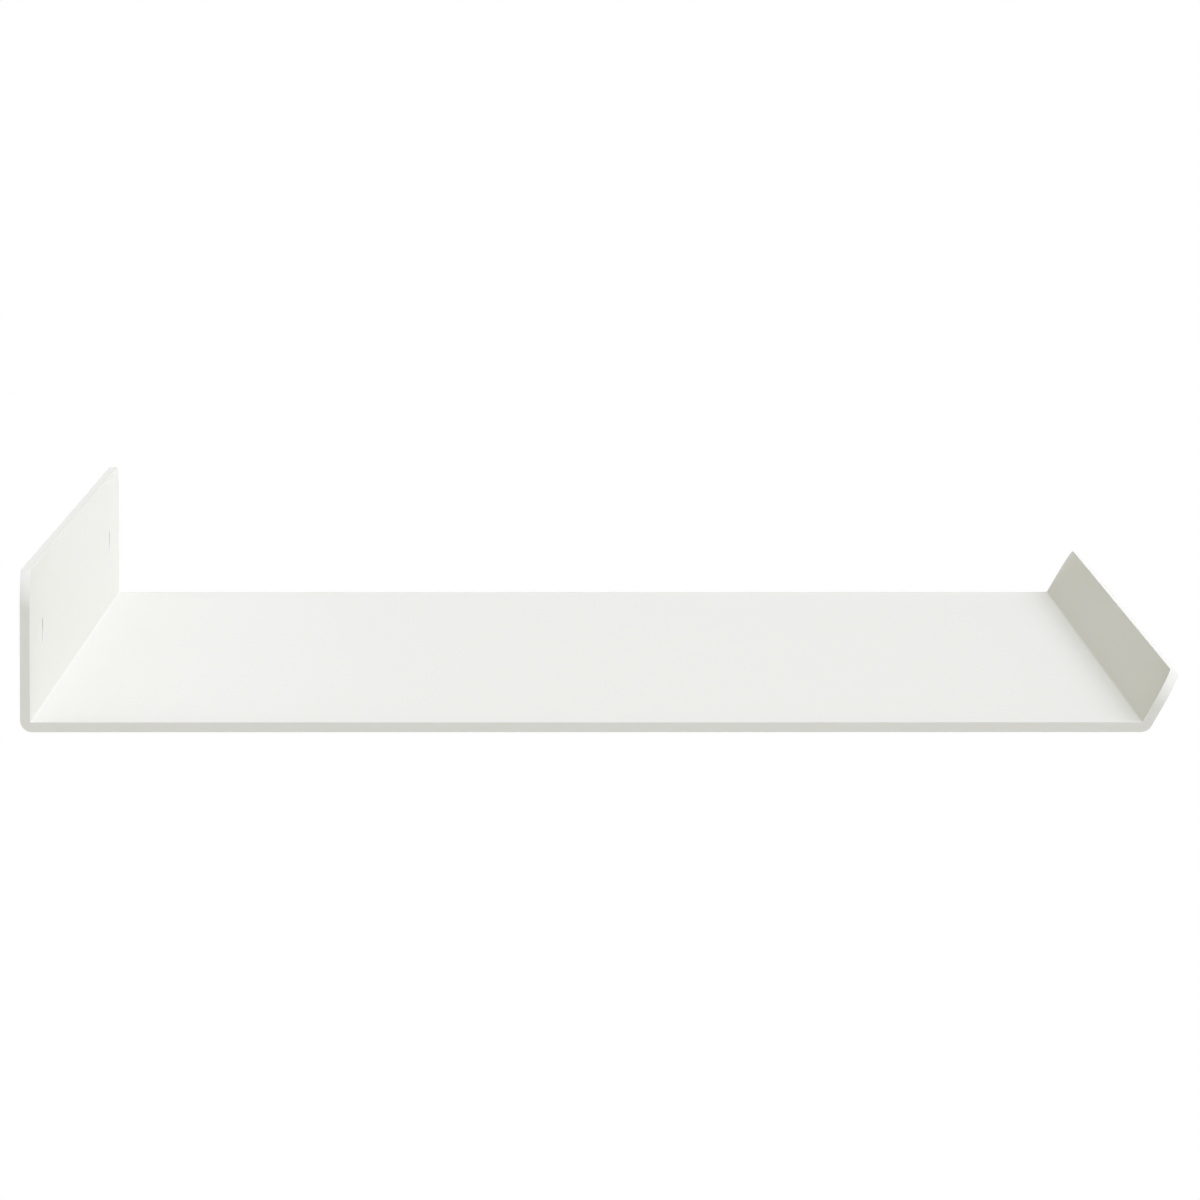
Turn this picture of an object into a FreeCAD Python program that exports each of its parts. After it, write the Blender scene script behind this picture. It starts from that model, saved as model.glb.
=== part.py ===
"""A floating wall shelf: one folded steel sheet, held on the wall by two countersunk screws in two plugs.

+X runs along the wall, the wall's surface is the plane Y = 0 with the room on the -Y side, and +Z is up.
The origin is on the wall's surface, halfway between the two screws. All sizes are in millimetres.
"""

import FreeCAD, Part
import math
import os

from FreeCAD import Vector

# The folded sheet
SHELF_LENGTH = 600.0  # along the wall
SHELF_DEPTH = 300.0  # from the wall to the outermost corner of the front lip
SHEET = 2.55  # 2.5 mm steel with its paint film
FLANGE_HEIGHT = 41.7  # from the underside to the top of the wall flange
LIP_LENGTH = 15.3  # up the inner face of the lip, from its fold line to its edge
LIP_ANGLE = 60.0  # the lip's slope above the level, in degrees, leaning out into the room
FOLD_RADIUS = 0.6  # inside each fold
CORNER_RADIUS = 10.0  # of the free corners of the flange and the lip

# The holes for the two screws
FIXING_INSET = 75.0  # from each end of the sheet to its screw
FIXING_HEIGHT = 21.9  # from the underside to the screws

# Each screw
SCREW_DIAMETER = 3.5  # over the thread
SCREW_LENGTH = 35.0  # from the top of the head to the tip
SCREW_POINT = 5.0  # the length of the tapered point
HEAD_DIAMETER = 6.8
HEAD_RIM = 0.25  # the straight edge above the head's 90 degree cone
HEAD_SINK = 0.4  # from the flange's face to the top of the head
HEAD_CLEARANCE = 0.2  # between the head's rim and the wall of its recess
SHANK_CLEARANCE = 0.35  # between the thread and the hole through the flange
DRIVE_SPAN = 3.4  # across the cross recess in the head
DRIVE_WIDTH = 0.8  # each arm of the cross
DRIVE_DEPTH = 1.4
DRIVE_FLOOR = 1.6  # across the floor of the cross

# Each plug
PLUG_DIAMETER = 5.0
PLUG_LENGTH = 25.0
PLUG_SINK = 2.5  # from the wall's surface to the rim of the plug
PLUG_NOSE = 1.5  # the length of the tapered end
PLUG_NOSE_DIAMETER = 4.0
PLUG_COLLAR = 6.0  # the smooth, uncut stretch behind the rim
PLUG_TOOTH = 2.5  # about the length of each ring of teeth behind the collar
PLUG_TOOTH_DEPTH = 0.3
PLUG_SLIT = 0.6  # the width of the two slits that cross in the axis

# The heights and depths that follow
UNDERSIDE = -FIXING_HEIGHT
FLANGE_TOP = UNDERSIDE + FLANGE_HEIGHT
ROOM_FACE = -SHEET  # the flange's face towards the room
HEAD_TOP = ROOM_FACE + HEAD_SINK
CONE_START = HEAD_TOP + HEAD_RIM
PLUG_RIM = PLUG_SINK

FIXINGS = {
    "left": -SHELF_LENGTH / 2 + FIXING_INSET,
    "right": SHELF_LENGTH / 2 - FIXING_INSET,
}

ALONG_WALL = Vector(1, 0, 0)
INTO_WALL = Vector(0, 1, 0)
DOWN = Vector(0, 0, -1)


def tilted(vector, degrees):
    """The vector turned about the shelf's length, from downwards towards the room."""
    return FreeCAD.Rotation(ALONG_WALL, -degrees).multVec(vector)


def fold_arc(start, centre, degrees):
    """The arc of a fold, and the point where it ends."""
    reach = start - centre
    end = centre + tilted(reach, degrees)
    return Part.Arc(start, centre + tilted(reach, degrees / 2), end).toShape(), end


def folded_outline(start, steps):
    """The outline of the folded sheet, seen from its end, and the middle of each of its free edges.

    It starts at the top of the face on the wall and runs down it. Each step is a flat length and the
    angle of the fold that follows it.
    """
    heading = DOWN
    point = start
    across = tilted(heading, 90) * SHEET
    edges = [Part.makeLine(start, start + across)]
    free_edges = [start + across / 2]
    for length, fold in steps:
        end = point + heading * length
        edges += [Part.makeLine(point, end), Part.makeLine(point + across, end + across)]
        point = end
        if fold:
            centre = end + tilted(heading, 90) * (SHEET + FOLD_RADIUS)
            inner, _ = fold_arc(end + across, centre, fold)
            outer, point = fold_arc(end, centre, fold)
            edges += [outer, inner]
            heading = tilted(heading, fold)
            across = tilted(heading, 90) * SHEET
    edges.append(Part.makeLine(point, point + across))
    free_edges.append(point + across / 2)
    return Part.Wire(Part.__sortEdges__(edges)), free_edges


def revolved(x, profile):
    """A solid turned about a screw's axis, from points of (place along the axis, radius)."""
    points = [Vector(x + radius, y, 0) for y, radius in profile]
    return Part.Face(Part.makePolygon(points + points[:1])).revolve(Vector(x, 0, 0), INTO_WALL, 360)


def crossed_bars(x, y, span, width, depth):
    """Two bars that cross at right angles in a screw's axis, from y into the wall."""
    lying = Part.makeBox(span, depth, width, Vector(x - span / 2, y, -width / 2))
    upright = Part.makeBox(width, depth, span, Vector(x - width / 2, y, -span / 2))
    return lying.fuse(upright)


def screw_hole(x):
    """What is cut from the flange for one screw: a straight recess, a 90 degree cone and a through hole."""
    mouth = HEAD_DIAMETER / 2 + HEAD_CLEARANCE
    through = SCREW_DIAMETER / 2 + SHANK_CLEARANCE
    cone = CONE_START - HEAD_CLEARANCE
    beyond = SHEET
    return revolved(
        x,
        [
            (ROOM_FACE - beyond, 0),
            (ROOM_FACE - beyond, mouth),
            (cone, mouth),
            (cone + mouth - through, through),
            (beyond, through),
            (beyond, 0),
        ],
    )


def shelf_plate():
    """The one folded sheet: wall flange, shelf and front lip, with rounded corners and two screw holes."""
    lean = math.radians(LIP_ANGLE)
    lip_fold_line = SHELF_DEPTH - LIP_LENGTH * math.cos(lean) - SHEET * math.sin(lean)
    wall_setback = SHEET + FOLD_RADIUS
    lip_setback = FOLD_RADIUS * math.tan(lean / 2)
    outline, free_edges = folded_outline(
        Vector(-SHELF_LENGTH / 2, 0, FLANGE_TOP),
        [
            (FLANGE_HEIGHT - wall_setback, 90),
            (lip_fold_line - lip_setback - wall_setback, LIP_ANGLE),
            (LIP_LENGTH - lip_setback, 0),
        ],
    )
    sheet = Part.Face(outline).extrude(ALONG_WALL * SHELF_LENGTH)
    corners = [place + ALONG_WALL * end for place in free_edges for end in (0, SHELF_LENGTH)]
    sharp = [e for e in sheet.Edges if any(e.CenterOfMass.isEqual(c, 0.001) for c in corners)]
    rounded = sheet.makeFillet(CORNER_RADIUS, sharp)
    return rounded.cut([screw_hole(x) for x in FIXINGS.values()])


def wall_screw(x):
    """A countersunk wood screw with a cross recess. Its cone bears on the flange's."""
    head = HEAD_DIAMETER / 2
    thread = SCREW_DIAMETER / 2
    tip = HEAD_TOP + SCREW_LENGTH
    body = revolved(
        x,
        [
            (HEAD_TOP, 0),
            (HEAD_TOP, head),
            (CONE_START, head),
            (CONE_START + head - thread, thread),
            (tip - SCREW_POINT, thread),
            (tip, 0),
        ],
    )
    funnel = revolved(
        x,
        [
            (HEAD_TOP, 0),
            (HEAD_TOP, DRIVE_SPAN / 2),
            (HEAD_TOP + DRIVE_DEPTH, DRIVE_FLOOR / 2),
            (HEAD_TOP + DRIVE_DEPTH, 0),
        ],
    )
    return body.cut(crossed_bars(x, HEAD_TOP, DRIVE_SPAN, DRIVE_WIDTH, DRIVE_DEPTH).common(funnel))


def wall_plug(x):
    """A nylon plug: a smooth collar, then four toothed fingers round the screw that fills its bore."""
    bore = SCREW_DIAMETER / 2
    crest = PLUG_DIAMETER / 2
    root = crest - PLUG_TOOTH_DEPTH
    collar_end = PLUG_RIM + PLUG_COLLAR
    end = PLUG_RIM + PLUG_LENGTH
    toothed = end - PLUG_NOSE - collar_end
    teeth = max(1, round(toothed / PLUG_TOOTH))
    profile = [(PLUG_RIM, bore), (PLUG_RIM, crest)]
    for tooth in range(teeth):
        step = toothed / teeth
        profile += [(collar_end + tooth * step, crest), (collar_end + (tooth + 1) * step, root)]
    profile += [(end, PLUG_NOSE_DIAMETER / 2), (end, bore)]
    slits = crossed_bars(x, collar_end, PLUG_DIAMETER * 2, PLUG_SLIT, PLUG_LENGTH)
    return revolved(x, profile).cut(slits)


def main():
    pieces = {"shelf_plate": shelf_plate()}
    for side, x in FIXINGS.items():
        pieces[f"wall_screw_{side}"] = wall_screw(x)
        pieces[f"wall_plug_{side}"] = wall_plug(x)
    os.makedirs("parts", exist_ok=True)
    for name, shape in pieces.items():
        (solid,) = shape.Solids
        solid.exportStep(f"parts/{name}.step")
        print(f"{name}: {solid.Volume:.1f} mm3, valid {solid.isValid()}")


main()
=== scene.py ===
import math

import bmesh
import bpy
from mathutils import Matrix, Vector


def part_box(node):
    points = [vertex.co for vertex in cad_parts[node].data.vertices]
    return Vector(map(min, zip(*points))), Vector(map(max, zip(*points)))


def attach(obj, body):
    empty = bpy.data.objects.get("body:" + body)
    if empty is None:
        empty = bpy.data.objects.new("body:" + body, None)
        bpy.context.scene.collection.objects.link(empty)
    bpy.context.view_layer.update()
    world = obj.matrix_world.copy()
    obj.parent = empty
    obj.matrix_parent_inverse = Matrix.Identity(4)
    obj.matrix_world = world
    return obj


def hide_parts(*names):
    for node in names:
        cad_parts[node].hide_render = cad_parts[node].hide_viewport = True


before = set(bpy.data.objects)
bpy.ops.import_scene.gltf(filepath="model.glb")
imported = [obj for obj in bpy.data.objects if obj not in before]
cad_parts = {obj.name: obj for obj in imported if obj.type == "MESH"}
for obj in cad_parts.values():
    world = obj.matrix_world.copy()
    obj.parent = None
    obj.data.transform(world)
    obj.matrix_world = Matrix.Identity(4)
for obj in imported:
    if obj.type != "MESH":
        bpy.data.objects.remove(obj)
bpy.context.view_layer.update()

MM = 0.001
BODY = "root"
QUARTER_TURN = math.radians(90)

# How near counts as there
CLOSE = MM / 100  # a point of the sheet and the place it is looked for at
SAME_POINT = MM / 1e3  # two points that become one
FINEST = MM / 1e4  # a point and the plane of a cut

# The folded sheet
PLATE_LOW, PLATE_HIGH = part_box("shelf_plate")
SHELF_LENGTH = PLATE_HIGH.x - PLATE_LOW.x
SHEET = 2.55 * MM
INSIDE_FOLD = 0.6 * MM
OUTSIDE_FOLD = INSIDE_FOLD + SHEET
FOLD_HEIGHT = PLATE_LOW.z + OUTSIDE_FOLD  # of the axes that both folds turn about
TIGHT_FOLD = 0.03 * MM  # inside the right angle fold, where the sheet is pressed tighter
LIP_LENGTH = 15.3 * MM  # up the inner face of the lip
LIP_ANGLE = math.radians(60)
CORNER_RADIUS = 10 * MM  # of the free corners of the flange and the lip
CUT_EDGE_ROUND = 0.025 * MM  # the paint's rounding over the sheet's cut edges
FOLD_STEPS = 16  # faces round a right angle fold
CORNER_STEPS = 24
EDGE_STEPS = 3
SQUARE_BEND = math.radians(80)  # a little less than the bend between two square faces
EDGE_BEND = math.radians(25)  # the bend past which two faces of the sheet meet in an edge
FLAT_BEND = math.radians(0.05)  # the bend under which a face belongs to a flat one

# The holes for the screws, from the CAD screws' own places
SIDES = {side: sum(c.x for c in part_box(f"wall_screw_{side}")) / 2 for side in ("left", "right")}
HOLE_STEPS = 64  # edges round a hole, four equal shares of them on the blank round it
BLANK = 6 * MM  # half of the square of sheet that each hole is punched in
MOUTH_RADIUS = 3.6 * MM
THROUGH_RADIUS = 2.1 * MM
HOLE_REACH = 1.2 * THROUGH_RADIUS  # takes in the wall of a punched hole and nothing round it
MOUTH_DEPTH = 0.45 * MM  # the straight stretch above the cone
HOLE_EDGE_ROUND = 0.06 * MM
HOLE_PAINTED_SHADE = (0.66, 0.66, 0.62)  # painted shade: a darker coat colour inside the holes, standing in for the shade that falls in them

# The screws
SCREW_LOW, SCREW_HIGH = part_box("wall_screw_left")
HEAD_RADIUS = (SCREW_HIGH.x - SCREW_LOW.x) / 2
HEAD_TOP = SCREW_LOW.y
SCREW_TIP = SCREW_HIGH.y
HEAD_RIM = 0.25 * MM
HEAD_ROUND = 0.08 * MM
HEAD_STEPS = 48
DRIVE_SPAN = 3.4 * MM
DRIVE_WIDTH = 0.8 * MM
DRIVE_DEPTH = 1.4 * MM
DRIVE_TAPER = 0.5  # the cross at its floor, as a share of its mouth
ARM_END = 1 / 3  # how much of the head's rim goes with the arms' ends
THREAD_RADIUS = 1.75 * MM
CORE_RADIUS = 1.2 * MM
THREAD_PITCH = 1.6 * MM
THREAD_STEPS = 32  # faces in one turn
THREAD_PROFILE = (  # shares of the pitch and the radii there, over the core, a flank, the crest and a flank
    (0, CORE_RADIUS), (0.55, CORE_RADIUS), (0.74, THREAD_RADIUS), (0.81, THREAD_RADIUS), (1, CORE_RADIUS)
)
NECK_RADIUS = 1.2 * CORE_RADIUS  # where the head's underside goes into the thread
NECK_RISE = THREAD_PITCH / 4
SCREW_POINT = 5 * MM
POINT_RADIUS = 0.08  # the point's blunt end, as a share of the thread's radius
SHARP = math.radians(30)  # the bend past which a fastener's faces meet in an edge

# The wall plugs
PLUG_LOW, PLUG_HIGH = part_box("wall_plug_left")
PLUG_RADIUS = (PLUG_HIGH.x - PLUG_LOW.x) / 2
PLUG_RIM = PLUG_LOW.y
PLUG_TIP = PLUG_HIGH.y
COLLAR_END = PLUG_RIM + 6 * MM
NOSE_START = PLUG_TIP - 1.5 * MM
NOSE_RADIUS = 2 * MM
PLUG_BORE = 1.75 * MM
FUNNEL = 0.3 * MM  # how much wider the bore is at the rim, and how deep it is so
PLUG_TEETH = 7
TOOTH_DEPTH = 0.3 * MM
PLUG_SLIT = 0.6 * MM
PLUG_STEPS = 48

# The camera, whose picture is 1200 pixels square
PICTURE = 1200
SENSOR = 36.0  # millimetres
FOCAL = 11600.0  # pixels
EYE_POINT = Vector((567.4, -60.5))  # where the lines along the shelf's length meet, in pixels
NEAR_CORNER = Vector((19.7, 732.45))  # the near end's corner between the wall and the underside
NEAR_SCALE = 0.25835 * MM  # metres in a pixel at the near end
CLIP_SPAN = 100  # how many times nearer and farther than the shelf the camera sees

# The light: what comes from all round, and four soft lamps. A lamp's bearing is in degrees from straight
# in front of the shelf, towards its left end, and its height and width are in degrees too. Its strength is
# what it adds to a white face that looks straight at it.
AMBIENT = (0.293, 0.291, 0.177)
SOFT_LAMPS = {
    "high_key": {"bearing": 50, "height": 45, "width": 40, "strength": 0.857, "tint": (0.826, 0.823, 1.0)},
    "low_fill": {"bearing": -45, "height": 5, "width": 90, "strength": 0.405, "tint": (0.89, 0.908, 1.0)},
    "wall_side": {"bearing": 180, "height": 60, "width": 50, "strength": 0.185, "tint": (0.77, 0.77, 1.0)},
    "back_fill": {"bearing": -155, "height": -18, "width": 30, "strength": 0.28, "tint": (0.93, 0.93, 1.0)},
}

# The stage
FLOOR_DROP = 1.2  # from the screws down to the floor
FLOOR_HALF = 2.0
FLOOR_PAINT = (0.86, 0.86, 0.86)
FLOOR_LIFT = 0.3  # what the floor's look gains, so that it meets the white behind it
WALL_HALF = 2.0
WALL_GAP = 0.3 * MM


def meshed(bm, name):
    """A scene object for a finished bmesh, at the origin."""
    mesh = bpy.data.meshes.new(name)
    bm.to_mesh(mesh)
    bm.free()
    made = bpy.data.objects.new(name, mesh)
    bpy.context.scene.collection.objects.link(made)
    return made


def piece_from(bm, name, material, node):
    """A piece of the shelf that stands for its CAD node."""
    piece = meshed(bm, name)
    piece.data.materials.append(material)
    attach(piece, BODY)
    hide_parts(node)
    return piece


def edges_in(geom):
    return [g for g in geom if isinstance(g, bmesh.types.BMEdge)]


def verts_in(geom):
    return [g for g in geom if isinstance(g, bmesh.types.BMVert)]


def parts_of(faces):
    """The faces with their edges and vertices, each of them once."""
    return list(dict.fromkeys(g for f in faces for g in (f, *f.edges, *f.verts)))


def extruded(bm, edges):
    """The new edges and vertices of an edge extrusion."""
    made = bmesh.ops.extrude_edge_only(bm, edges=edges)["geom"]
    verts = verts_in(made)
    return [e for e in edges_in(made) if all(v in verts for v in e.verts)], verts


def swept(bm, geom, axis, angle, steps, centre=(0, 0, 0), climb=(0, 0, 0)):
    """Sweeps a line round an axis, climbing at each step, and gives the edges that it ends in."""
    made = bmesh.ops.spin(
        bm, geom=geom, cent=centre, axis=axis, dvec=climb, angle=angle, steps=steps,
        use_merge=False, use_normal_flip=False, use_duplicate=False,
    )
    return edges_in(made["geom_last"])


def circle_at(bm, segments, radius, place):
    """A circle's edges."""
    circle = bmesh.ops.create_circle(bm, cap_ends=False, segments=segments, radius=radius, matrix=place)
    return list(dict.fromkeys(e for v in circle["verts"] for e in v.link_edges))


def from_axis(co, x):
    """How far a point lies from the axis of the screw at x."""
    return math.hypot(co.x - x, co.z)


def quarter_and_share(x, y):
    """Which quarter of a turn a direction lies in, counted from 45 degrees before +X, and how far through it.

    The share runs from -1 to 1.
    """
    quarter, share = divmod(math.atan2(y, x) / QUARTER_TURN + 0.5, 1)
    return int(quarter), 2 * share - 1


def quarter_turned(x, y, quarter):
    """A point turned on by quarters about the axis."""
    for _ in range(quarter % 4):
        x, y = -y, x
    return x, y


def carried_on(bm, edges, step):
    """Carries the sheet straight on from its open edge."""
    leading, verts = extruded(bm, edges)
    bmesh.ops.translate(bm, verts=verts, vec=step)
    return leading


def folded(bm, edges, centre, angle):
    """Carries the sheet on round a fold, from downwards towards the room."""
    steps = max(2, round(FOLD_STEPS * angle / QUARTER_TURN))
    return swept(bm, edges, (1, 0, 0), -angle, steps, centre=centre)


def punch(bm, x):
    """Opens a round hole in the square blank at x, with the sheet round it in even strips."""
    blank = min(bm.faces, key=lambda f: (f.calc_center_median() - Vector((x, 0, 0))).length)
    sides = list(blank.edges)
    bmesh.ops.delete(bm, geom=[blank], context="FACES_ONLY")
    bmesh.ops.subdivide_edges(bm, edges=sides, cuts=HOLE_STEPS // 4 - 1)
    place = Matrix.Translation((x, 0, 0)) @ Matrix.Rotation(QUARTER_TURN, 4, "X")
    rim = circle_at(bm, HOLE_STEPS, THROUGH_RADIUS, place)
    _, outer = extruded(bm, rim)
    for vert in outer:
        quarter, share = quarter_and_share(vert.co.x - x, vert.co.z)
        across, up = quarter_turned(BLANK, share * BLANK, quarter)
        vert.co = (x + across, 0, up)
    bmesh.ops.remove_doubles(bm, verts=bm.verts[:], dist=SAME_POINT)


def thin_sheet(bm):
    """The whole sheet without its thickness: the punched flange, a fold, the shelf, a fold and the lip."""
    half = SHELF_LENGTH / 2
    columns = [-half]
    for x in sorted(SIDES.values()):
        columns += [x - BLANK, x + BLANK]
    columns.append(half)
    top = [bm.verts.new((x, 0, PLATE_HIGH.z)) for x in columns]
    edges = [bm.edges.new(pair) for pair in zip(top, top[1:])]
    heights = [PLATE_HIGH.z, BLANK, -BLANK, FOLD_HEIGHT]
    for above, below in zip(heights, heights[1:]):
        edges = carried_on(bm, edges, (0, 0, below - above))
    for x in SIDES.values():
        punch(bm, x)

    edges = folded(bm, edges, (0, -OUTSIDE_FOLD, FOLD_HEIGHT), QUARTER_TURN)
    lip_setback = INSIDE_FOLD * math.tan(LIP_ANGLE / 2)
    lip_reach = LIP_LENGTH * math.cos(LIP_ANGLE) + SHEET * math.sin(LIP_ANGLE)
    lip_start = PLATE_LOW.y + lip_reach + lip_setback
    edges = carried_on(bm, edges, (0, lip_start + OUTSIDE_FOLD, 0))
    edges = folded(bm, edges, (0, lip_start, FOLD_HEIGHT), LIP_ANGLE)
    rise = LIP_LENGTH - lip_setback
    carried_on(bm, edges, (0, -rise * math.cos(LIP_ANGLE), rise * math.sin(LIP_ANGLE)))


def thickened(bm):
    """Gives the sheet its thickness towards the room, and draws the right angle fold tight inside."""
    bmesh.ops.recalc_face_normals(bm, faces=bm.faces[:])
    flange = max(bm.faces, key=lambda f: f.calc_center_median().z)
    if flange.normal.y < 0:
        bmesh.ops.reverse_faces(bm, faces=bm.faces[:])
    bmesh.ops.solidify(bm, geom=bm.faces[:], thickness=SHEET)
    corner = Vector((0, -SHEET, PLATE_LOW.z + SHEET))
    inside = [
        v for v in bm.verts
        if abs(math.hypot(v.co.y + OUTSIDE_FOLD, v.co.z - FOLD_HEIGHT) - INSIDE_FOLD) < CLOSE
    ]
    tighter = TIGHT_FOLD / INSIDE_FOLD
    bmesh.ops.scale(bm, verts=inside, vec=(1, tighter, tighter), space=Matrix.Translation(-corner))


def countersink(bm, x):
    """Widens the room's side of a punched hole: a straight mouth, then a cone down to the hole."""
    geom = parts_of(f for f in bm.faces if all(from_axis(v.co, x) < HOLE_REACH for v in f.verts))
    cone_depth = MOUTH_DEPTH + MOUTH_RADIUS - THROUGH_RADIUS
    for depth in (cone_depth, MOUTH_DEPTH):
        cut = bmesh.ops.bisect_plane(
            bm, geom=geom, dist=FINEST, plane_co=(0, depth - SHEET, 0), plane_no=(0, 1, 0)
        )
        geom = [g for g in cut["geom"] if g.is_valid]
    mouth = [
        v for v in bm.verts
        if from_axis(v.co, x) < HOLE_REACH and v.co.y < MOUTH_DEPTH + CLOSE - SHEET
    ]
    wider = MOUTH_RADIUS / THROUGH_RADIUS
    bmesh.ops.scale(bm, verts=mouth, vec=(wider, 1, wider), space=Matrix.Translation((-x, 0, 0)))


def softened(bm, edges, radius, steps):
    """Rounds the edges, with round corners that meet them."""
    bmesh.ops.bevel(
        bm, geom=edges, offset=radius, offset_type="OFFSET", segments=steps, profile=0.5,
        affect="EDGES", material=-1, clamp_overlap=False,
    )


def rounded_over(bm):
    """Rounds the free corners of the flange and the lip, then all cut edges, then the edges of the holes."""
    bm.normal_update()
    end = SHELF_LENGTH / 2 - CLOSE
    corners = [
        e for e in bm.edges
        if all(abs(v.co.x) > end for v in e.verts)
        and abs(e.calc_length() - SHEET) < CLOSE and e.calc_face_angle(0) > SQUARE_BEND
    ]
    softened(bm, corners, CORNER_RADIUS, CORNER_STEPS)

    bm.normal_update()
    sharp = [e for e in bm.edges if e.calc_face_angle(0) > EDGE_BEND]
    holes = [e for e in sharp if any(from_axis(e.verts[0].co, x) < BLANK for x in SIDES.values())]
    softened(bm, [e for e in sharp if e not in holes], CUT_EDGE_ROUND, EDGE_STEPS)
    bm.normal_update()
    softened(bm, [e for e in holes if e.is_valid], HOLE_EDGE_ROUND, EDGE_STEPS)
    bmesh.ops.recalc_face_normals(bm, faces=bm.faces[:])


def smooth_but_flats(bm):
    """Shades the sheet smooth, apart from its flat faces."""
    lip_face = Vector((0, math.sin(LIP_ANGLE), math.cos(LIP_ANGLE)))
    along_lip = Vector((0, -math.cos(LIP_ANGLE), math.sin(LIP_ANGLE)))
    flats = [Vector(n) for n in ((1, 0, 0), (0, 1, 0), (0, 0, 1))] + [lip_face, along_lip]
    flats += [-n for n in flats]
    for face in bm.faces:
        face.smooth = all(face.normal.angle(n, math.pi) >= FLAT_BEND for n in flats)


def shelf_plate(material):
    """The sheet, cut flat, punched, folded twice, given its thickness, countersunk and rounded over."""
    bm = bmesh.new()
    thin_sheet(bm)
    thickened(bm)
    for x in SIDES.values():
        countersink(bm, x)
    rounded_over(bm)
    smooth_but_flats(bm)
    return piece_from(bm, "folded_shelf_plate", material, "shelf_plate")


def next_ring(bm, edges, radii, rise):
    """Carries a round wall on from its open ring, from one radius to the next."""
    leading, verts = extruded(bm, edges)
    grow = radii[1] / radii[0]
    bmesh.ops.scale(bm, verts=verts, vec=(grow, grow, 1))
    bmesh.ops.translate(bm, verts=verts, vec=(0, 0, rise))
    return leading


def cross_point(x, y):
    """The point on the cross recess's outline that goes with a direction from the screw's axis."""
    arm, share = quarter_and_share(x, y)
    back = max(0, (abs(share) - ARM_END) / (1 - ARM_END))
    out = DRIVE_SPAN / 2 + back * (DRIVE_WIDTH - DRIVE_SPAN) / 2
    aside = DRIVE_WIDTH / 2 * max(-1, min(1, share / ARM_END))
    return quarter_turned(out, aside, arm)


def screw_head(bm):
    """The countersunk head, with its cross recess, down to where the thread takes over."""
    flat_radius = HEAD_RADIUS - HEAD_ROUND
    rim = circle_at(bm, HEAD_STEPS, flat_radius, Matrix.Translation((0, 0, HEAD_TOP)))
    outline, verts = extruded(bm, rim)
    for vert in verts:
        vert.co.xy = cross_point(vert.co.x, vert.co.y)
    floor, verts = extruded(bm, outline)
    bmesh.ops.scale(bm, verts=verts, vec=(DRIVE_TAPER, DRIVE_TAPER, 1))
    bmesh.ops.translate(bm, verts=verts, vec=(0, 0, DRIVE_DEPTH))
    bmesh.ops.edgeloop_fill(bm, edges=floor)

    cone = HEAD_RADIUS - THREAD_RADIUS
    ring = next_ring(bm, rim, (flat_radius, HEAD_RADIUS), HEAD_ROUND)
    ring = next_ring(bm, ring, (HEAD_RADIUS, HEAD_RADIUS), HEAD_RIM - HEAD_ROUND)
    ring = next_ring(bm, ring, (HEAD_RADIUS, THREAD_RADIUS), cone)
    ring = next_ring(bm, ring, (THREAD_RADIUS, NECK_RADIUS), NECK_RISE)
    ring = next_ring(bm, ring, (NECK_RADIUS, NECK_RADIUS), THREAD_PITCH)
    bmesh.ops.edgeloop_fill(bm, edges=ring)
    return HEAD_TOP + HEAD_RIM + cone + NECK_RISE


def screw_thread(bm, start):
    """The threaded shank: one pitch of its profile swept in a helix, cut square and drawn to a point."""
    turns = math.ceil((SCREW_TIP - start) / THREAD_PITCH) + 2
    low = start - THREAD_PITCH
    verts = [bm.verts.new((radius, 0, low + share * THREAD_PITCH)) for share, radius in THREAD_PROFILE]
    edges = [bm.edges.new(pair) for pair in zip(verts, verts[1:])]
    head = set(bm.faces)
    climb = (0, 0, THREAD_PITCH / THREAD_STEPS)
    swept(bm, verts + edges, (0, 0, 1), math.tau * turns, turns * THREAD_STEPS, climb=climb)
    doubles = [v for v in bm.verts if not head.intersection(v.link_faces)]
    bmesh.ops.remove_doubles(bm, verts=doubles, dist=SAME_POINT)
    for height, normal in ((start, -1), (SCREW_TIP, 1)):
        cut = bmesh.ops.bisect_plane(
            bm, geom=parts_of(f for f in bm.faces if f not in head), dist=FINEST,
            plane_co=(0, 0, height), plane_no=(0, 0, normal), clear_outer=True,
        )
        bmesh.ops.edgeloop_fill(bm, edges=edges_in(cut["geom_cut"]))
    point_start = SCREW_TIP - SCREW_POINT
    for vert in bm.verts:
        along = max(0, (vert.co.z - point_start) / SCREW_POINT)
        vert.co.xy *= 1 - along * (1 - POINT_RADIUS)


def set_in_wall(bm, side, name, material, node):
    """A finished fastener, smooth between its edges, turned from +Z to where it sits in the wall."""
    bmesh.ops.recalc_face_normals(bm, faces=bm.faces[:])
    bm.normal_update()
    for face in bm.faces:
        face.smooth = True
    for edge in bm.edges:
        edge.smooth = edge.calc_face_angle(0) < SHARP
    place = Matrix.Translation((SIDES[side], 0, 0)) @ Matrix.Rotation(-QUARTER_TURN, 4, "X")
    bmesh.ops.transform(bm, matrix=place, verts=bm.verts[:])
    return piece_from(bm, name, material, node)


def wall_screw(side, material):
    """A countersunk wood screw with a cross recess, driven along +Y."""
    bm = bmesh.new()
    start = screw_head(bm)
    screw_thread(bm, start)
    return set_in_wall(
        bm, side, f"threaded_screw_{side}", material, f"wall_screw_{side}"
    )


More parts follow.
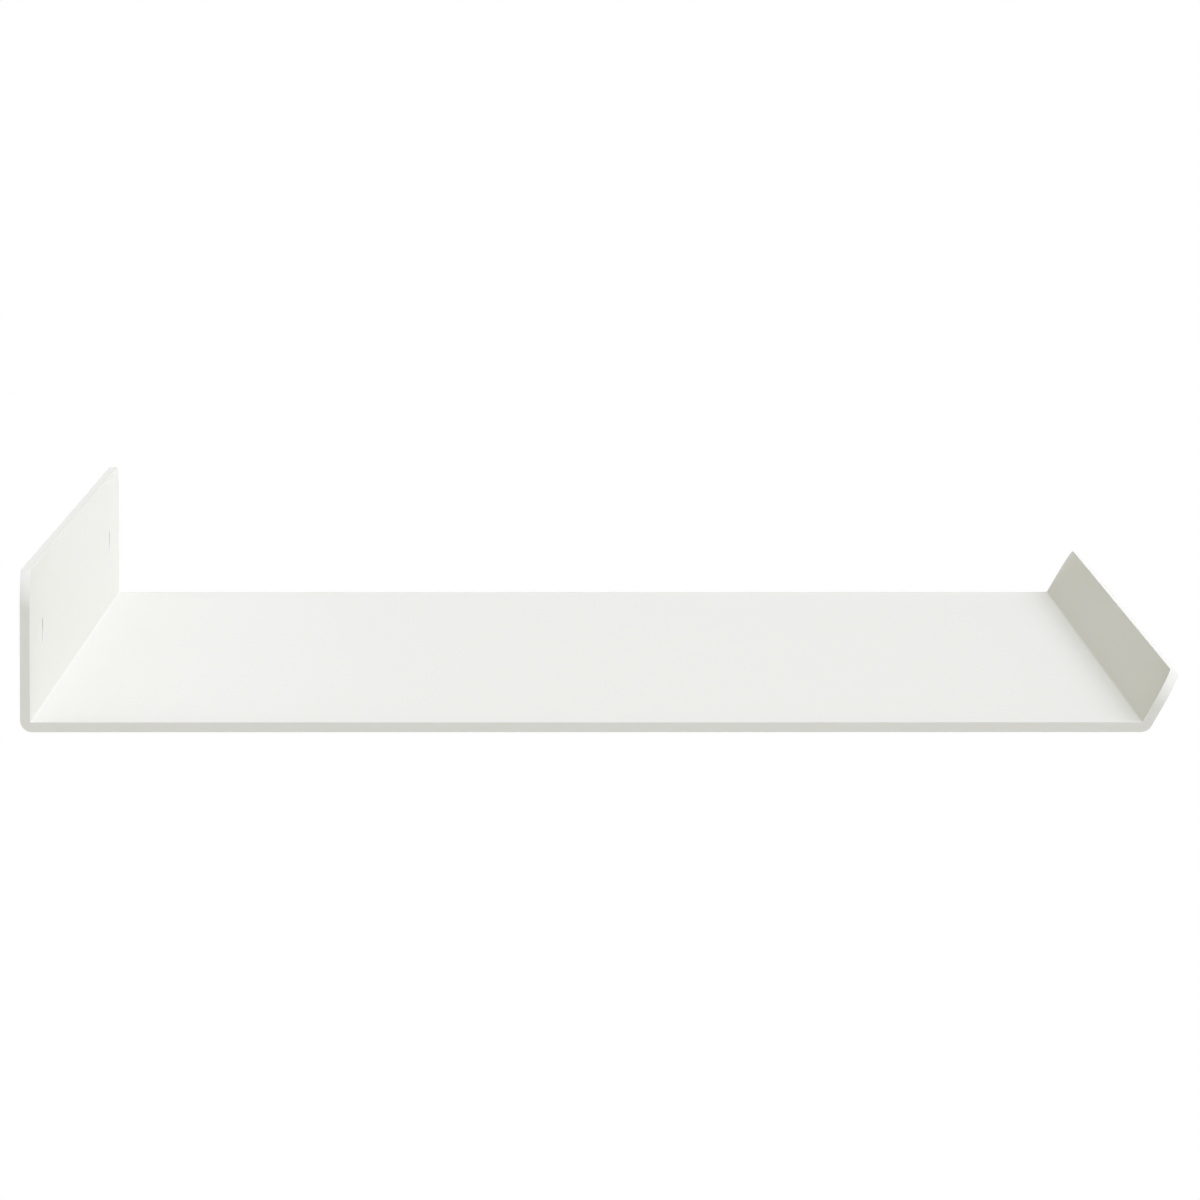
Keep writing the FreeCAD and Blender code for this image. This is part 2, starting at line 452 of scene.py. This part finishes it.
def plug_section():
    """The plug's wall cut lengthwise, as radii and heights: up its toothed outside, then down its bore."""
    section = [(PLUG_RADIUS, PLUG_RIM), (PLUG_RADIUS, COLLAR_END)]
    tooth = (NOSE_START - COLLAR_END) / PLUG_TEETH
    for number in range(1, PLUG_TEETH):
        root = COLLAR_END + number * tooth
        section += [(PLUG_RADIUS - TOOTH_DEPTH, root), (PLUG_RADIUS, root)]
    section += [(PLUG_RADIUS - TOOTH_DEPTH, NOSE_START), (NOSE_RADIUS, PLUG_TIP)]
    section += [(PLUG_BORE, PLUG_TIP), (PLUG_BORE, COLLAR_END)]
    section += [(PLUG_BORE, PLUG_RIM + FUNNEL), (PLUG_BORE + FUNNEL, PLUG_RIM)]
    return section


def slit_open(bm):
    """Cuts half a slit along each side of a quarter of the plug, above its collar, and closes the cuts."""
    half_slit = PLUG_SLIT / 2
    for along in (0, 1):
        plane = Vector((0, 0, 0))
        plane[along] = 1
        bmesh.ops.bisect_plane(
            bm, geom=parts_of(bm.faces), dist=FINEST, plane_co=plane * half_slit, plane_no=plane
        )
    slits = [
        f for f in bm.faces
        if f.calc_center_median().z > COLLAR_END and min(f.calc_center_median().xy) < half_slit
    ]
    bmesh.ops.delete(bm, geom=slits, context="FACES")
    for along in (0, 1):
        cut = [
            e for e in bm.edges if e.is_boundary and all(
                abs(v.co[along] - half_slit) < SAME_POINT and v.co.z > COLLAR_END - SAME_POINT
                for v in e.verts
            )
        ]
        ends = [v for e in cut for v in e.verts if v.co.z < COLLAR_END + SAME_POINT]
        bmesh.ops.edgeloop_fill(bm, edges=cut + [bm.edges.new(ends)])


def wall_plug(side, material):
    """A wall plug: a collar at the wall's face, then four toothed fingers with a slit between each two."""
    bm = bmesh.new()
    corners = [bm.verts.new((radius, 0, height)) for radius, height in plug_section()]
    outline = [bm.edges.new(pair) for pair in zip(corners, corners[1:] + corners[:1])]
    swept(bm, corners + outline, (0, 0, 1), QUARTER_TURN, PLUG_STEPS // 4)
    slit_open(bm)
    finger = parts_of(bm.faces)
    for quarter in (1, 2, 3):
        copied = bmesh.ops.duplicate(bm, geom=finger)["geom"]
        turn = Matrix.Rotation(quarter * QUARTER_TURN, 3, "Z")
        bmesh.ops.rotate(bm, verts=verts_in(copied), cent=(0, 0, 0), matrix=turn)
    bmesh.ops.remove_doubles(bm, verts=bm.verts[:], dist=FINEST)
    bmesh.ops.holes_fill(bm, edges=[e for e in bm.edges if e.is_boundary], sides=0)
    return set_in_wall(bm, side, f"toothed_plug_{side}", material, f"wall_plug_{side}")


def new_material(name):
    """A material with its Principled shader, its nodes and its links."""
    material = bpy.data.materials.new(name)
    material.use_nodes = True
    nodes = material.node_tree.nodes
    return material, nodes, material.node_tree.links, nodes["Principled BSDF"]


def worked_out(nodes, links, operation, *values):
    """What a maths node makes of sockets and plain numbers."""
    node = nodes.new("ShaderNodeMath")
    node.operation = operation
    for socket, value in zip(node.inputs, values):
        if isinstance(value, bpy.types.NodeSocket):
            links.new(value, socket)
        else:
            socket.default_value = value
    return node.outputs[0]


def grain_group():
    """Fine grain of a moulded or sprayed surface: a height and a slow mottle from Object coordinates."""
    group = bpy.data.node_groups.new("surface_grain", "ShaderNodeTree")
    sockets = group.interface
    for name, value in (("Grain size", MM), ("Mottle size", 0.1)):
        socket = sockets.new_socket(name, in_out="INPUT", socket_type="NodeSocketFloat")
        socket.min_value = 0.0
        socket.default_value = value
    sockets.new_socket("Height", in_out="OUTPUT", socket_type="NodeSocketFloat")
    sockets.new_socket("Mottle", in_out="OUTPUT", socket_type="NodeSocketFloat")
    nodes, links = group.nodes, group.links
    taken = nodes.new("NodeGroupInput")
    given = nodes.new("NodeGroupOutput")
    place = nodes.new("ShaderNodeTexCoord")
    for size, detail, result in (("Grain size", 2.0, "Height"), ("Mottle size", 1.0, "Mottle")):
        noise = nodes.new("ShaderNodeTexNoise")
        noise.inputs["Detail"].default_value = detail
        links.new(place.outputs["Object"], noise.inputs["Vector"])
        links.new(worked_out(nodes, links, "DIVIDE", 1.0, taken.outputs[size]), noise.inputs["Scale"])
        links.new(noise.outputs["Fac"], given.inputs[result])
    return group


def grained(name, group, colors, roughness, grain, mottle, depth, metallic=0.0):
    """A material whose colour and roughness drift with the mottle, with the grain in its surface."""
    material, nodes, links, shader = new_material(name)
    grains = nodes.new("ShaderNodeGroup")
    grains.node_tree = group
    grains.inputs["Grain size"].default_value = grain
    grains.inputs["Mottle size"].default_value = mottle
    tint = nodes.new("ShaderNodeMix")
    tint.data_type = "RGBA"
    tint.inputs["A"].default_value = (*colors[0], 1)
    tint.inputs["B"].default_value = (*colors[1], 1)
    links.new(grains.outputs["Mottle"], tint.inputs["Factor"])
    links.new(tint.outputs["Result"], shader.inputs["Base Color"])
    polish = nodes.new("ShaderNodeMapRange")
    polish.inputs["To Min"].default_value = roughness[0]
    polish.inputs["To Max"].default_value = roughness[1]
    links.new(grains.outputs["Mottle"], polish.inputs["Value"])
    links.new(polish.outputs["Result"], shader.inputs["Roughness"])
    bump = nodes.new("ShaderNodeBump")
    bump.inputs["Distance"].default_value = depth
    links.new(grains.outputs["Height"], bump.inputs["Height"])
    links.new(bump.outputs["Normal"], shader.inputs["Normal"])
    shader.inputs["Metallic"].default_value = metallic
    return material, shader


def painted_hole_shade_mask(nodes, links):
    """Mask of the painted shade: 1 on the inside of the sheet's holes, 0 on the sheet's faces round them."""
    place = nodes.new("ShaderNodeTexCoord")
    part = nodes.new("ShaderNodeSeparateXYZ")
    links.new(place.outputs["Object"], part.inputs[0])
    either_side = worked_out(nodes, links, "ABSOLUTE", part.outputs["X"])
    across = nodes.new("ShaderNodeCombineXYZ")
    links.new(worked_out(nodes, links, "SUBTRACT", either_side, SIDES["right"]), across.inputs["X"])
    links.new(part.outputs["Z"], across.inputs["Z"])
    reach = nodes.new("ShaderNodeVectorMath")
    reach.operation = "LENGTH"
    links.new(across.outputs[0], reach.inputs[0])
    inside = nodes.new("ShaderNodeMapRange")
    inside.inputs["From Min"].default_value = MOUTH_RADIUS + HOLE_EDGE_ROUND
    inside.inputs["From Max"].default_value = MOUTH_RADIUS
    links.new(reach.outputs["Value"], inside.inputs["Value"])
    return inside.outputs["Result"]


def powder_coat(group):
    """Matte off-white powder coat, fine and even with barely any gloss, with painted shade darkening it
    inside the holes.
    """
    material, shader = grained(
        "off_white_powder_coat", group, colors=((0.797, 0.799, 0.745), (0.803, 0.805, 0.751)),
        roughness=(0.64, 0.72), grain=0.55 * MM, mottle=90 * MM, depth=0.004 * MM,
    )
    shader.inputs["Specular IOR Level"].default_value = 0.12
    nodes, links = material.node_tree.nodes, material.node_tree.links
    # Painted shade: the coat's colour is mixed towards a darker grey inside the holes.
    hole_shade = nodes.new("ShaderNodeMix")
    hole_shade.data_type = "RGBA"
    hole_shade.inputs["B"].default_value = (*HOLE_PAINTED_SHADE, 1)
    links.new(shader.inputs["Base Color"].links[0].from_socket, hole_shade.inputs["A"])
    links.new(painted_hole_shade_mask(nodes, links), hole_shade.inputs["Factor"])
    links.new(hole_shade.outputs["Result"], shader.inputs["Base Color"])
    return material


def zinc_plate(group):
    """Bright zinc over rolled steel, a little uneven."""
    material, _ = grained(
        "zinc_plated_steel", group, colors=((0.66, 0.68, 0.70), (0.76, 0.77, 0.77)),
        roughness=(0.24, 0.38), grain=0.25 * MM, mottle=3 * MM, depth=0.004 * MM, metallic=1.0,
    )
    return material


def grey_nylon(group):
    """Moulded grey nylon, faintly waxy."""
    material, _ = grained(
        "moulded_grey_nylon", group, colors=((0.53, 0.54, 0.55), (0.57, 0.58, 0.59)),
        roughness=(0.42, 0.52), grain=0.3 * MM, mottle=6 * MM, depth=0.006 * MM,
    )
    return material


def seen_directly(nodes, links):
    """1 for rays from the camera and for those that a gloss or a glass sends on, 0 for light."""
    path = nodes.new("ShaderNodeLightPath")
    total = path.outputs["Is Camera Ray"]
    for name in ("Is Glossy Ray", "Is Transmission Ray"):
        total = worked_out(nodes, links, "MAXIMUM", total, path.outputs[name])
    return total


def studio_air():
    """The world: white behind everything that is seen, and a plain soft light on the object."""
    world = bpy.data.worlds.new("studio_air")
    bpy.context.scene.world = world
    world.use_nodes = True
    nodes, links = world.node_tree.nodes, world.node_tree.links
    nodes.clear()
    lit = nodes.new("ShaderNodeBackground")
    lit.inputs["Color"].default_value = (*AMBIENT, 1)
    white = nodes.new("ShaderNodeBackground")
    white.inputs["Color"].default_value = (1, 1, 1, 1)
    mix = nodes.new("ShaderNodeMixShader")
    links.new(seen_directly(nodes, links), mix.inputs[0])
    links.new(lit.outputs[0], mix.inputs[1])
    links.new(white.outputs[0], mix.inputs[2])
    out = nodes.new("ShaderNodeOutputWorld")
    links.new(mix.outputs[0], out.inputs["Surface"])


def stage_plane(name, half_size, place, material):
    """One plane of the stage, with its face towards its local +Z."""
    bm = bmesh.new()
    bmesh.ops.create_grid(bm, x_segments=1, y_segments=1, size=half_size, matrix=place)
    plane = meshed(bm, name)
    plane.data.materials.append(material)
    return plane


def one_sided(name, front):
    """A stage material that is clear from behind."""
    material, nodes, links, shader = new_material(name)
    nodes.remove(shader)
    clear = nodes.new("ShaderNodeBsdfTransparent")
    side = nodes.new("ShaderNodeNewGeometry")
    mix = nodes.new("ShaderNodeMixShader")
    links.new(side.outputs["Backfacing"], mix.inputs[0])
    links.new(front(nodes, links), mix.inputs[1])
    links.new(clear.outputs[0], mix.inputs[2])
    links.new(mix.outputs[0], nodes["Material Output"].inputs["Surface"])
    return material


def pale_paint(nodes, links):
    """Plain pale floor paint, lifted to white for whatever looks at it, which keeps the shelf's shadow."""
    paint = nodes.new("ShaderNodeBsdfDiffuse")
    paint.inputs["Color"].default_value = (*FLOOR_PAINT, 1)
    lift = nodes.new("ShaderNodeEmission")
    strength = worked_out(nodes, links, "MULTIPLY", seen_directly(nodes, links), FLOOR_LIFT)
    links.new(strength, lift.inputs["Strength"])
    both = nodes.new("ShaderNodeAddShader")
    links.new(paint.outputs[0], both.inputs[0])
    links.new(lift.outputs[0], both.inputs[1])
    return both.outputs[0]


def white_card(nodes, links):
    """White to whatever looks at it."""
    glow = nodes.new("ShaderNodeEmission")
    glow.inputs["Strength"].default_value = 1.0
    return glow.outputs[0]


def stage():
    """The floor far below, and the wall's face, which hides what is in the wall and throws no light."""
    floor_place = Matrix.Translation((0, 0, -FLOOR_DROP))
    stage_plane("studio_floor", FLOOR_HALF, floor_place, one_sided("pale_floor", pale_paint))
    wall_place = Matrix.Translation((0, WALL_GAP, 0)) @ Matrix.Rotation(QUARTER_TURN, 4, "X")
    wall = stage_plane("wall_face", WALL_HALF, wall_place, one_sided("white_wall", white_card))
    wall.visible_diffuse = False
    wall.visible_shadow = False


def soft_lamp(name, bearing, height, width, strength, tint):
    """A wide, far-off lamp, whose light reaches the whole shelf alike."""
    lamp = bpy.data.lights.new(name, "SUN")
    lamp.angle = math.radians(width)
    lamp.energy = math.pi * strength
    lamp.color = tint
    light = bpy.data.objects.new(name, lamp)
    bpy.context.scene.collection.objects.link(light)
    turned = Matrix.Rotation(math.radians(-bearing), 3, "Z")
    lifted = Matrix.Rotation(math.radians(-height), 3, "X")
    towards = turned @ lifted @ Vector((0, -1, 0))
    light.rotation_mode = "QUATERNION"
    light.rotation_quaternion = towards.to_track_quat("Z", "Y")


def camera():
    """A long lens on the shelf's end, from a little above, aimed so that the picture's frame fits."""
    distance = FOCAL * NEAR_SCALE
    eye = Vector((
        PLATE_LOW.x - distance,
        (NEAR_CORNER.x - EYE_POINT.x) * NEAR_SCALE,
        PLATE_LOW.z + (NEAR_CORNER.y - EYE_POINT.y) * NEAR_SCALE,
    ))
    across, down = (Vector((PICTURE / 2, PICTURE / 2)) - EYE_POINT) / FOCAL
    aim = Vector((1, -across, -down))
    lens = bpy.data.cameras.new("end_view")
    lens.sensor_width = SENSOR
    lens.lens = FOCAL / PICTURE * SENSOR * aim.length
    lens.clip_start = distance / CLIP_SPAN
    lens.clip_end = distance * CLIP_SPAN
    view = bpy.data.objects.new("end_view", lens)
    bpy.context.scene.collection.objects.link(view)
    view.location = eye
    view.rotation_mode = "QUATERNION"
    view.rotation_quaternion = aim.to_track_quat("-Z", "Y")
    bpy.context.scene.camera = view


def main():
    grain = grain_group()
    shelf_plate(powder_coat(grain))
    zinc = zinc_plate(grain)
    nylon = grey_nylon(grain)
    for side in SIDES:
        wall_screw(side, zinc)
        wall_plug(side, nylon)
    stage()
    for name, lamp in SOFT_LAMPS.items():
        soft_lamp(name, **lamp)
    studio_air()
    camera()
    bpy.context.scene.view_settings.view_transform = "Standard"


main()
